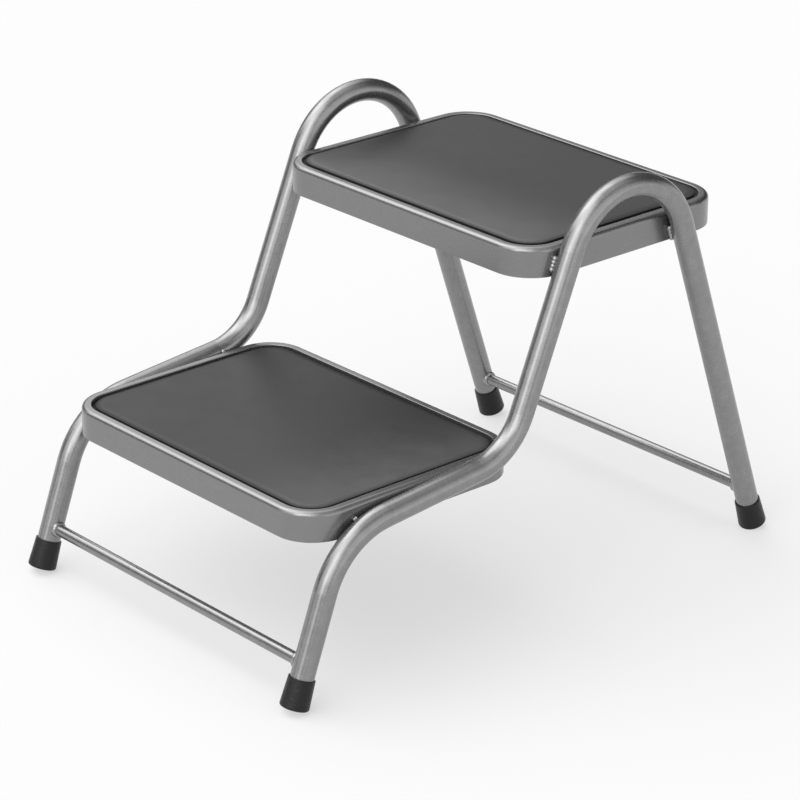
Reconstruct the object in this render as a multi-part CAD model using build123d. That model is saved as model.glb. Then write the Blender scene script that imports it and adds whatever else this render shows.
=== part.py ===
"""Two-tread step stool: bent tube side frames, pressed trays with inset mats, cross bars, rubber feet and welds."""
import os
from math import cos, radians, sin, sqrt, tan

from build123d import *

# Driving dimensions, in millimetres and degrees. The stool faces -Y and stands on Z = 0.
# Side frames: one round tube each, leans measured from the vertical.
tube_diameter = 25.0
tube_wall = 1.5
front_lean = 20.0
upright_lean = 22.5
rear_lean = 19.0
knee_below_rim = 22.5
knee_bend_radius = 92.0
incline_run = 226.5
heel_bend_radius = 74.0
hoop_bend_radius = 85.5
hoop_start_below_rim = 5.3

# Pressed trays. The rims are the flat borders left round the mat's recess.
lower_rim_height = 194.5
upper_rim_height = 400.0
lower_tray_lead = 19.0
upper_tray_setback = 0.9
tray_overhang = 33.2
tray_width = 400.0
tray_depth = 32.0
tray_sheet = 1.5
tray_corner_radius = 45.0
tray_edge_radius = 5.0
side_rim = 11.5
end_rim = 10.5
rim_edge_radius = 1.0
lower_recess_depth = 5.3
upper_recess_depth = 3.8

# Anti-slip mats: a tread whose bevelled border rounds over at its crest, on a thin flange that lines the recess.
mat_thickness = 5.0
mat_flange = 1.2
mat_gap = 0.5
mat_groove = 4.0
mat_bevel_width = 7.0
mat_bevel_height = 1.2
mat_crest_radius = 12.0

# Cross bars between the legs, a little above the feet.
bar_diameter = 12.7
bar_wall = 1.2
front_bar_gap = 5.4
rear_bar_gap = 9.0

# Rubber ferrule feet.
foot_length = 32.0
foot_sole_wall = 2.9
foot_lip_wall = 1.4
foot_floor = 6.0
foot_edge_radius = 2.5
foot_lip_radius = 0.5
foot_fit = 0.1

# Welds. A bead or tack is a row of puddles, whose core touches tube and tray and whose skin sinks towards both.
weld_fit = 0.1
upper_weld_drop = 21.0
bead_core_radius = 1.8
bead_sink = 1.5
bead_pitch = 3.8
bead_puddles = 4
tack_core_radius = 1.4
tack_sink = 0.8
tack_pitch = 1.6
tack_puddles = 2
front_tack_share = 0.75
rear_tack_share = 0.02
bar_bead_size = 2.5

tube_radius = tube_diameter / 2
bar_radius = bar_diameter / 2
frame_x = tray_width / 2 + weld_fit + tube_radius
SIDES = {"left": -1, "right": 1}
SEAT_ROUNDS = 12


def ferrule():
    """Foot standing on its flat sole, with the tube's socket open at the top."""
    socket_radius = tube_radius + foot_fit
    outline = Polyline(
        (0, 0),
        (socket_radius + foot_sole_wall, 0),
        (socket_radius + foot_lip_wall, foot_length),
        (socket_radius, foot_length),
        (socket_radius, foot_floor),
        (0, foot_floor),
        close=True,
    )
    body = revolve(make_face(Plane.XZ * outline), Axis.Z)
    sole_edge = body.edges().filter_by(GeomType.CIRCLE).group_by(Axis.Z)[0]
    body = fillet(sole_edge, foot_edge_radius)
    lip_edge = body.edges().filter_by(GeomType.CIRCLE).group_by(Axis.Z)[-1].sort_by(SortBy.RADIUS)[-1]
    return fillet(lip_edge, foot_lip_radius)


# Feet lean with their legs, so each rests on one edge of its sole, and that sets how high its sole's centre is.
front_foot = Rot(X=-front_lean) * ferrule()
rear_foot = Rot(X=rear_lean) * ferrule()
front_sole_z = -front_foot.bounding_box().min.Z
rear_sole_z = -rear_foot.bounding_box().min.Z

# The side frame, followed back from the front foot. The hoop's bend is tangent to the upright and the rear leg.
knee_z = lower_rim_height - knee_below_rim
heel_z = lower_rim_height
hoop_z = upper_rim_height - hoop_start_below_rim - hoop_bend_radius * sin(radians(upright_lean))
knee_reach = (knee_z - front_sole_z) * tan(radians(front_lean))
upright_reach = (hoop_z - heel_z) * tan(radians(upright_lean)) + hoop_bend_radius / cos(radians(upright_lean))
rear_reach = (hoop_z - rear_sole_z) * tan(radians(rear_lean)) + hoop_bend_radius / cos(radians(rear_lean))
foot_span = knee_reach + incline_run + upright_reach + rear_reach

# The middle of the stool's depth, over the feet's outer edges, is at Y = 0.
front_foot_y = -(foot_span + front_foot.bounding_box().min.Y + rear_foot.bounding_box().max.Y) / 2
rear_foot_y = front_foot_y + foot_span
knee_y = front_foot_y + knee_reach
heel_y = knee_y + incline_run
apex_rise = hoop_bend_radius * (cos(radians(upright_lean)) + cos(radians(rear_lean)))
apex_z = hoop_z + apex_rise / sin(radians(upright_lean + rear_lean))
apex_y = heel_y + (apex_z - heel_z) * tan(radians(upright_lean))


def up_front_leg(distance):
    """Y and Z of the front leg's centre line, at a distance up from the middle of the sole."""
    return (
        front_foot_y + distance * sin(radians(front_lean)),
        front_sole_z + distance * cos(radians(front_lean)),
    )


def up_rear_leg(distance):
    """Y and Z of the rear leg's centre line, at a distance up from the middle of the sole."""
    return (
        rear_foot_y - distance * sin(radians(rear_lean)),
        rear_sole_z + distance * cos(radians(rear_lean)),
    )


centre_line = FilletPolyline(
    [
        (0, *up_front_leg(foot_floor)),
        (0, knee_y, knee_z),
        (0, heel_y, heel_z),
        (0, apex_y, apex_z),
        (0, *up_rear_leg(foot_floor)),
    ],
    radius=[knee_bend_radius, heel_bend_radius, hoop_bend_radius],
)
front_leg, knee_bend, incline, heel_bend, upright, hoop_bend, rear_leg = centre_line.order_edges()


def swept(section):
    """Solid of a section carried along the side frame's centre line, on the middle plane."""
    start = Plane(origin=centre_line @ 0, z_dir=centre_line % 0)
    return sweep(start * section, path=centre_line)


def place_at(edge, z):
    """Place on a straight edge of the centre line, from 0 to 1, where it passes a height."""
    return (z - (edge @ 0).Z) / ((edge @ 1).Z - (edge @ 0).Z)


frame_tube = swept(Circle(tube_radius) - Circle(tube_radius - tube_wall))
frame_cutter = swept(Circle(tube_radius + weld_fit))

# The upper tray's straight sides begin at the uprights and run on behind the rear legs. Both trays are alike.
skirt_middle = upper_rim_height - tray_depth / 2
upper_side_y = (upright @ place_at(upright, skirt_middle)).Y + upper_tray_setback
rear_leg_y = (rear_leg @ place_at(rear_leg, skirt_middle)).Y
tray_length = rear_leg_y + tray_overhang - upper_side_y + 2 * tray_corner_radius
upper_tray_y = upper_side_y - tray_corner_radius + tray_length / 2
upper_place = Pos(0, upper_tray_y, upper_rim_height)

# The lower tray's straight sides begin a little ahead of the front tacks.
lower_side_y = (knee_bend @ front_tack_share).Y - lower_tray_lead
lower_tray_y = lower_side_y - tray_corner_radius + tray_length / 2
lower_place = Pos(0, lower_tray_y, lower_rim_height)

recess_width = tray_width - 2 * side_rim
recess_length = tray_length - 2 * end_rim
recess_corner_radius = tray_corner_radius - side_rim


def plate(width, length, corner_radius, height):
    """Rounded plate on the XY plane, with its underside at Z = 0."""
    return extrude(RectangleRounded(width, length, corner_radius), height)


def tray_outside(grow):
    """Outside of a tray as a solid block, grown sideways, with its top rim at Z = 0."""
    block = plate(tray_width + 2 * grow, tray_length + 2 * grow, tray_corner_radius + grow, tray_depth)
    block = Pos(Z=-tray_depth) * block
    return fillet(block.edges().group_by(Axis.Z)[-1], tray_edge_radius + grow)


def tray(recess_depth):
    """Pressed tray of even sheet: skirt, rolled top edge, rim and sunk floor, open underneath."""
    recess = plate(recess_width, recess_length, recess_corner_radius, recess_depth)
    sunk_floor = plate(
        recess_width + 2 * tray_sheet,
        recess_length + 2 * tray_sheet,
        recess_corner_radius + tray_sheet,
        recess_depth + tray_sheet,
    )
    sunk_floor = Pos(Z=-recess_depth - tray_sheet) * sunk_floor
    underside = Pos(Z=-tray_sheet) * tray_outside(-tray_sheet)
    body = tray_outside(0) - Pos(Z=-recess_depth) * recess
    rim_face = body.faces().sort_by(Axis.Z)[-1]
    body = fillet(rim_face.inner_wires()[0].edges(), rim_edge_radius)
    return body - (underside - sunk_floor)


def mat():
    """Mat with its underside at Z = 0: a flange out to the recess's wall, and a raised tread with a bevelled border."""

    def sheet(inset, height):
        return plate(recess_width - 2 * inset, recess_length - 2 * inset, recess_corner_radius - inset, height)

    tread = sheet(mat_gap + mat_groove, mat_thickness)
    top_face = tread.faces().sort_by(Axis.Z)[-1]
    tread = chamfer(top_face.edges(), mat_bevel_width, mat_bevel_height, reference=top_face)
    tread = fillet(tread.faces().sort_by(Axis.Z)[-1].edges(), mat_crest_radius)
    return tread + sheet(mat_gap, mat_flange)


def cross_bar(y, z):
    """Thin tube between the legs, with its ends shaped to the legs."""
    bar = Cylinder(bar_radius, 2 * frame_x) - Cylinder(bar_radius - bar_wall, 2 * frame_x)
    bar = Pos(0, y, z) * Rot(Y=90) * bar
    for side in SIDES.values():
        bar -= Pos(X=side * frame_x) * frame_cutter
    return bar


def bar_weld(side, y, z):
    """Collar of weld round a bar's end, seated on the leg."""
    collar_length = tube_radius + bar_bead_size
    collar = Cylinder(bar_radius + bar_bead_size, collar_length, align=(Align.CENTER, Align.CENTER, Align.MIN))
    free_edge = collar.edges().group_by(Axis.Z)[-1]
    collar = fillet(free_edge, bar_bead_size)
    collar -= Cylinder(bar_radius + weld_fit, 2 * collar_length)
    collar = Pos(side * frame_x, y, z) * Rot(Y=-90 * side) * collar
    return collar - Pos(X=side * frame_x) * frame_cutter


def skirt_seat(edge, place, groove_turn, core_radius, side_y):
    """Sideways place of a puddle, and its rise off the tube's centre line, with its core on both tube and skirt.

    Ahead of side_y the skirt turns in round the tray's corner, so the two are settled together, in a few rounds.
    """
    groove_y = -(edge % place).Z * groove_turn
    tube_reach = tube_radius + core_radius
    corner_reach = tray_corner_radius + core_radius
    rise = 0
    for _ in range(SEAT_ROUNDS):
        ahead = max(side_y - (edge @ place).Y - groove_y * rise, 0)
        seat_x = tray_width / 2 - tray_corner_radius + sqrt(corner_reach**2 - ahead**2)
        rise = sqrt(tube_reach**2 - (frame_x - seat_x) ** 2)
    return seat_x, rise


def fold_seat(edge, place, groove_turn, core_radius, rim_height):
    """The same for a core that touches the tray's rolled edge, above its skirt."""
    above_tube = (rim_height - tray_edge_radius - (edge @ place).Z) / (edge % place).Y
    fold = Vector(tray_width / 2 - tray_edge_radius, above_tube * groove_turn)
    tube_reach = tube_radius + core_radius
    fold_reach = tray_edge_radius + core_radius
    to_tube = Vector(frame_x, 0) - fold
    share = (to_tube.length**2 + fold_reach**2 - tube_reach**2) / (2 * to_tube.length)
    toward = to_tube.normalized()
    seat = fold + toward * share + toward.rotate(Axis.Z, 90) * sqrt(fold_reach**2 - share**2)
    return seat.X, seat.Y


def weld(side, edge, middle, groove_turn, seat, tray_place, tray_block, core_radius, sink, pitch, puddles):
    """Row of puddles along one face of a tube, each seated against a tray, then cut back to tube and tray."""
    row = []
    for step in range(puddles):
        place = middle + (step - (puddles - 1) / 2) * pitch / edge.length
        run = edge % place
        seat_x, rise = seat(edge, place, groove_turn, core_radius, tray_place)
        centre = edge @ place + Vector(side * seat_x, 0, 0) + Vector(0, -run.Z, run.Y) * groove_turn * rise
        row.append(Plane(origin=centre, x_dir=(side, 0, 0), z_dir=run) * Sphere(core_radius + sink))
    return Part() + row - Pos(X=side * frame_x) * frame_cutter - tray_block


bar_above_foot = foot_length + bar_bead_size + bar_radius
front_bar_place = up_front_leg(bar_above_foot + front_bar_gap)
rear_bar_place = up_rear_leg(bar_above_foot + rear_bar_gap)

parts = {
    "lower_step_tray": lower_place * tray(lower_recess_depth),
    "upper_step_tray": upper_place * tray(upper_recess_depth),
    "lower_step_mat": lower_place * Pos(Z=-lower_recess_depth) * mat(),
    "upper_step_mat": upper_place * Pos(Z=-upper_recess_depth) * mat(),
    "front_cross_bar": cross_bar(*front_bar_place),
    "rear_cross_bar": cross_bar(*rear_bar_place),
}

# Beads lie on the front of each leg of the hoop, against the upper tray's skirt. Tacks lie on top of the tube:
# in front against the lower tray's skirt, and behind against its rolled edge.
bead_middle_z = upper_rim_height - upper_weld_drop
upper_block = upper_place * tray_outside(weld_fit)
lower_block = lower_place * tray_outside(weld_fit)
bead = (bead_core_radius, bead_sink, bead_pitch, bead_puddles)
tack = (tack_core_radius, tack_sink, tack_pitch, tack_puddles)
tray_welds = {
    "upper_front": (upright, place_at(upright, bead_middle_z), 1, skirt_seat, upper_side_y, upper_block, *bead),
    "upper_rear": (rear_leg, place_at(rear_leg, bead_middle_z), -1, skirt_seat, upper_side_y, upper_block, *bead),
    "lower_front": (knee_bend, front_tack_share, 1, skirt_seat, lower_side_y, lower_block, *tack),
    "lower_rear": (heel_bend, rear_tack_share, 1, fold_seat, lower_rim_height, lower_block, *tack),
}

for name, side in SIDES.items():
    parts[f"{name}_side_frame"] = Pos(X=side * frame_x) * frame_tube
    parts[f"foot_front_{name}"] = Pos(side * frame_x, front_foot_y, front_sole_z) * front_foot
    parts[f"foot_rear_{name}"] = Pos(side * frame_x, rear_foot_y, rear_sole_z) * rear_foot
    parts[f"weld_front_bar_{name}"] = bar_weld(side, *front_bar_place)
    parts[f"weld_rear_bar_{name}"] = bar_weld(side, *rear_bar_place)
    for corner, details in tray_welds.items():
        parts[f"weld_{corner}_{name}"] = weld(side, *details)

os.makedirs("parts", exist_ok=True)
for node, shape in parts.items():
    export_step(shape, f"parts/{node}.step")
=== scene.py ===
"""Looks of a two-tread metal step stool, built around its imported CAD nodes."""
from math import cos, radians, sin

import bmesh
import bpy
from mathutils import Matrix, Vector

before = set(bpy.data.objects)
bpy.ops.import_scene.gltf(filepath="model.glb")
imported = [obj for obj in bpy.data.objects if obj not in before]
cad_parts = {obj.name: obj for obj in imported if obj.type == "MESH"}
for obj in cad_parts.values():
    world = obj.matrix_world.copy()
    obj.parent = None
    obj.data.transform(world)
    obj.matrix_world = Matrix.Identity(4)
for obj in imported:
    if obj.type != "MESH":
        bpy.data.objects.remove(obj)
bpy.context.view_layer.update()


# Side frames. Each is one length of round steel tube, bent cold from the front foot up over the hand hoop
# and down to the rear foot, then sprayed with a satin silver paint that holds fine metal flake.


class Value:
    """A node's output in a material. Arithmetic on it adds Math nodes, and node() adds any other node."""

    def __init__(self, tree, socket=None):
        self.tree = tree
        self.socket = socket

    def node(self, kind, sockets, output=0, **settings):
        """Add a node with its settings, then its sockets' values or links, and give back one of its outputs."""
        made = self.tree.nodes.new(f"ShaderNode{kind}")
        for name, setting in settings.items():
            setattr(made, name, setting)
        for name, given in sockets.items():
            if isinstance(given, Value):
                self.tree.links.new(given.socket, made.inputs[name])
            else:
                made.inputs[name].default_value = given
        return Value(self.tree, made.outputs[output])

    def __add__(self, other):
        return self.node("Math", {0: self, 1: other}, operation="ADD")

    def __sub__(self, other):
        return self.node("Math", {0: self, 1: other}, operation="SUBTRACT")

    def __rsub__(self, other):
        return self.node("Math", {0: other, 1: self}, operation="SUBTRACT")

    def __mul__(self, other):
        return self.node("Math", {0: self, 1: other}, operation="MULTIPLY")

    __radd__ = __add__
    __rmul__ = __mul__


def finish_of(name, metallic):
    """A new material, its shader, and the Object coordinates that its patterns are laid out on."""
    material = bpy.data.materials.new(name)
    material.use_nodes = True
    shader = material.node_tree.nodes["Principled BSDF"]
    shader.inputs["Metallic"].default_value = metallic
    coordinates = Value(material.node_tree).node("TexCoord", {}, output="Object")
    return material, shader, coordinates


def noise(place, scale, detail):
    """A soft random pattern from 0 to 1, with its scale in waves to the metre."""
    return place.node("TexNoise", {"Vector": place, "Scale": scale, "Detail": detail})


def shades(share, low, high):
    """A colour between two ends, each a grey level or a pattern of colour, as the share goes from 0 to 1."""
    ends = [end if isinstance(end, Value) else (end, end, end, 1) for end in (low, high)]
    return share.node("Mix", {0: share, 6: ends[0], 7: ends[1]}, output=2, data_type="RGBA")


def relief(height, strength, distance):
    """A normal that follows a pattern of height, whose full height is the distance in metres."""
    return height.node("Bump", {"Height": height, "Strength": strength, "Distance": distance})


def feed(shader, **values):
    """Link patterns to a shader's sockets, whose names are given with underscores for spaces."""
    for name, value in values.items():
        value.tree.links.new(value.socket, shader.inputs[name.replace("_", " ")])


def silver_paint(name, shade, mottling):
    """Satin metallic paint: flake and mottle in the colour, slow drift in the gloss, and a fine orange peel."""
    material, shader, place = finish_of(name, metallic=0.85)
    flake = place.node("TexVoronoi", {"Vector": place, "Scale": 1500.0}, output="Color")
    mottle = noise(place, scale=110.0, detail=3.0)
    drift = noise(place, scale=16.0, detail=3.0)
    orange_peel = noise(place, scale=380.0, detail=2.0)
    tone = flake * 0.24 + mottle * 0.6 + drift * 0.16
    silver = shades(tone, shade * (1 - mottling), shade * (1 + mottling))
    satin = 0.18 + drift * 0.05 + flake * 0.03 + mottle * 0.08
    feed(shader, Base_Color=silver, Roughness=satin, Normal=relief(orange_peel, strength=0.35, distance=0.00001))
    return material


def dress(material, *names):
    """Give CAD nodes a finish."""
    for name in names:
        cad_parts[name].material_slots[0].material = material


tube_paint = silver_paint("tube_paint", shade=0.25, mottling=0.24)
dress(tube_paint, "left_side_frame", "right_side_frame")


# Cross bars. Thin drawn steel tube between the legs, cut to the legs' curve at both ends and welded on,
# sprayed with the frames.

bar_paint = silver_paint("bar_paint", shade=0.25, mottling=0.24)
dress(bar_paint, "front_cross_bar", "rear_cross_bar")


# Treads. Each is pressed from one steel sheet, with a turned-down skirt and a sunk bed for the mat, and is
# sprayed with the frames. The flats take the paint more evenly than the tube does, and are painted a shade
# darker than the tube as painted shade.

# Painted shade: the tube's paint, made a shade darker on the treads.
shaded_tray_paint = silver_paint("shaded_tray_paint", shade=0.22, mottling=0.08)
dress(shaded_tray_paint, "upper_step_tray", "lower_step_tray")


# Welds. Short rows of weld puddles hold the treads in the frames, and a collar of weld holds each bar's end.
# They are left as laid, so the same paint lies thick and uneven on them.


def weld_paint():
    """The frames' paint over rippled weld metal."""
    material, shader, place = finish_of("weld_paint", metallic=0.9)
    ripple = noise(place, scale=520.0, detail=3.0)
    spatter = place.node("TexVoronoi", {"Vector": place, "Scale": 700.0})
    silver = shades(ripple, 0.22, 0.40)
    uneven_gloss = 0.18 + ripple * 0.16
    crust = relief(ripple + 0.5 * spatter, strength=0.6, distance=0.0006)
    feed(shader, Base_Color=silver, Roughness=uneven_gloss, Normal=crust)
    return material


dress(weld_paint(), *(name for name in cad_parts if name.startswith("weld_")))


# Mats. Anti-slip rubber sheet, moulded with a bevelled border and a fine grain, and glued into the treads'
# beds. Each has painted sheen, paler towards one edge, the front on the upper one and the right-hand edge on
# the lower one, and painted shade, near black, in the groove round its border.


def rise(value, start, end, top=1.0):
    """A smooth step from 0 at the start to the top at the end."""
    step = {"Value": value, "From Min": start, "From Max": end, "To Max": top}
    return value.node("MapRange", step, interpolation_type="SMOOTHSTEP")


def mat_rubber(name, bed_height, sheen_way, sheen_from, sheen_to):
    """Charcoal rubber with a fine stipple and an uneven bloom, with painted sheen paler one way and painted shade
    near black in the groove.
    """
    material, shader, place = finish_of(name, metallic=0.0)
    shader.inputs["Specular IOR Level"].default_value = 0.38
    stipple = noise(place, scale=1100.0, detail=2.0)
    cloud = noise(place, scale=34.0, detail=4.0)
    bloom = noise(place, scale=5.0, detail=2.0)
    tone = stipple * 0.3 + cloud * 0.3 + bloom * 0.4
    # Painted sheen: the rubber is painted paler one way across the mat, as light falling on it would make it.
    along = place.node("VectorMath", {0: place, 1: sheen_way}, output="Value", operation="DOT_PRODUCT")
    painted_sheen = rise(along + 0.03 * cloud, sheen_from, sheen_to)
    height = place.node("SeparateXYZ", {"Vector": place}, output="Z")
    # Painted shade: the rubber low in the groove round the border is painted near black, where shade falls.
    outside_groove_shade = rise(height, bed_height + 0.0032, bed_height + 0.0050)
    clean_charcoal = shades(tone, 0.008, 0.032)
    sheen_charcoal = shades(tone, 0.030, 0.100)
    tread_charcoal = shades(painted_sheen, clean_charcoal, sheen_charcoal)
    charcoal = shades(outside_groove_shade, 0.006, tread_charcoal)
    dullness = 0.9 - outside_groove_shade * (0.54 - cloud * 0.18 - stipple * 0.08)
    feed(shader, Base_Color=charcoal, Roughness=dullness, Normal=relief(stipple, strength=0.5, distance=0.0002))
    return material


upper_rubber = mat_rubber("upper_mat_rubber", bed_height=0.3962, sheen_way=(0, -1, 0), sheen_from=-0.12, sheen_to=0.02)
dress(upper_rubber, "upper_step_mat")
lower_rubber = mat_rubber("lower_mat_rubber", bed_height=0.1892, sheen_way=(1, 0, 0), sheen_from=0.06, sheen_to=0.26)
dress(lower_rubber, "lower_step_mat")


# Feet. Black rubber ferrules, moulded with a slight taper and pushed onto the ends of the legs. The rubber has
# a dull sheen and the faint mottle of its mould.


def foot_rubber():
    """Black rubber, with a dull sheen and a faint mottle from the mould."""
    material, shader, place = finish_of("foot_rubber", metallic=0.0)
    shader.inputs["Specular IOR Level"].default_value = 0.30
    mottle = noise(place, scale=160.0, detail=4.0)
    grain = noise(place, scale=600.0, detail=2.0)
    black = shades(mottle * 0.4 + grain * 0.6, 0.001, 0.011)
    dull_sheen = 0.26 + mottle * 0.16 + grain * 0.12
    mould_marks = relief(grain + mottle, strength=0.8, distance=0.0006)
    feed(shader, Base_Color=black, Roughness=dull_sheen, Normal=mould_marks)
    return material


dress(foot_rubber(), *(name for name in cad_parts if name.startswith("foot_")))


# Studio. A pale paper floor runs out past the frame. Round it are a pale horizon and soft lights, broad and
# bright overhead, in front and on the left, and weak behind, as the real stool's tubes mirror them.

floor_radius = 9.0
floor_whitening = 0.55

floor_mesh = bpy.data.meshes.new("paper_floor")
disc = bmesh.new()
bmesh.ops.create_circle(disc, cap_ends=True, segments=96, radius=floor_radius)
disc.to_mesh(floor_mesh)
disc.free()
floor = bpy.data.objects.new("paper_floor", floor_mesh)
bpy.context.scene.collection.objects.link(floor)
paper, paper_shader, paper_place = finish_of("white_paper", metallic=0.0)
paper_shader.inputs["Roughness"].default_value = 1.0
paper_shader.inputs["Specular IOR Level"].default_value = 0.0
paper_fibre = noise(paper_place, scale=300.0, detail=3.0)
feed(paper_shader, Base_Color=shades(paper_fibre, 0.58, 0.61))
camera_ray, glossy_ray, clear_ray = (
    paper_place.node("LightPath", {}, output=f"Is {ray} Ray") for ray in ("Camera", "Glossy", "Transmission")
)
seen = paper_place.node("Math", {0: camera_ray + glossy_ray, 1: clear_ray}, operation="ADD", use_clamp=True)
white = paper_place.node("Emission", {"Strength": 1.0})
lit_paper = Value(paper.node_tree, paper_shader.outputs["BSDF"])
paper_sheet = paper_place.node("MixShader", {0: floor_whitening * seen, 1: lit_paper, 2: white})
paper.node_tree.links.new(paper_sheet.socket, paper.node_tree.nodes["Material Output"].inputs["Surface"])
floor_mesh.materials.append(paper)

world = bpy.data.worlds.new("studio")
bpy.context.scene.world = world
world.use_nodes = True
sky = world.node_tree.nodes["Background"]
way = Value(world.node_tree).node("TexCoord", {}, output="Generated")


def glow(azimuth, elevation, spread, strength):
    """A soft round light on the sky. The azimuth is from the front, -Y, round to the right, +X, in degrees."""
    flat = cos(radians(elevation))
    toward = (sin(radians(azimuth)) * flat, -cos(radians(azimuth)) * flat, sin(radians(elevation)))
    along = way.node("VectorMath", {0: way, 1: toward}, output="Value", operation="DOT_PRODUCT")
    return rise(along, cos(radians(spread)), 1.0, top=strength)


def horizon(top, full, strength):
    """A pale band all round, at its full strength low down and faded out at the top."""
    height = way.node("SeparateXYZ", {"Vector": way}, output="Z")
    return rise(height, top, full, top=strength)


# Each light's azimuth, elevation, spread and strength.
soft_lights = (
    (10, 17, 20, 2.4),
    (46, 20, 22, 2.1),
    (20, 33, 26, 2.2),
    (36, 52, 28, 1.5),
    (72, 38, 26, 0.5),
    (336, 20, 24, 1.4),
    (352, 42, 26, 0.9),
    (0, 62, 32, 1.1),
    (0, 88, 40, 0.7),
    (318, 58, 30, 1.6),
    (296, 42, 22, 1.8),
    (288, 21, 16, 1.0),
    (272, 60, 30, 1.7),
    (262, 42, 24, 1.8),
    (248, 26, 18, 1.0),
    (226, 52, 24, 1.5),
    (232, 27, 13, 1.3),
    (140, 60, 28, 0.5),
    (165, 0, 18, 0.8),
    (104, 8, 50, 1.3),
)
light = horizon(top=0.16, full=0.04, strength=0.45)
for soft_light in soft_lights:
    light = light + glow(*soft_light)
world.node_tree.links.new(light.socket, sky.inputs["Color"])


# Camera. A long lens, three and a half metres away at eye height, ahead of the stool and to its right, that
# looks down on both treads.

camera_turn = radians(48.493)
camera_drop = radians(22.906)
camera_roll = radians(0.171)
camera_distance = 3.4541
aim = Vector((0.0413, -0.0410, 0.200))

lens = bpy.data.cameras.new("camera")
lens.lens = 147.18
lens.sensor_width = 36.0
camera = bpy.data.objects.new("camera", lens)
camera.matrix_world = (
    Matrix.Translation(aim)
    @ Matrix.Rotation(camera_turn, 4, "Z")
    @ Matrix.Rotation(radians(90) - camera_drop, 4, "X")
    @ Matrix.Rotation(camera_roll, 4, "Z")
    @ Matrix.Translation((0, 0, camera_distance))
)
bpy.context.scene.collection.objects.link(camera)
bpy.context.scene.camera = camera
bpy.context.scene.view_settings.view_transform = "Standard"
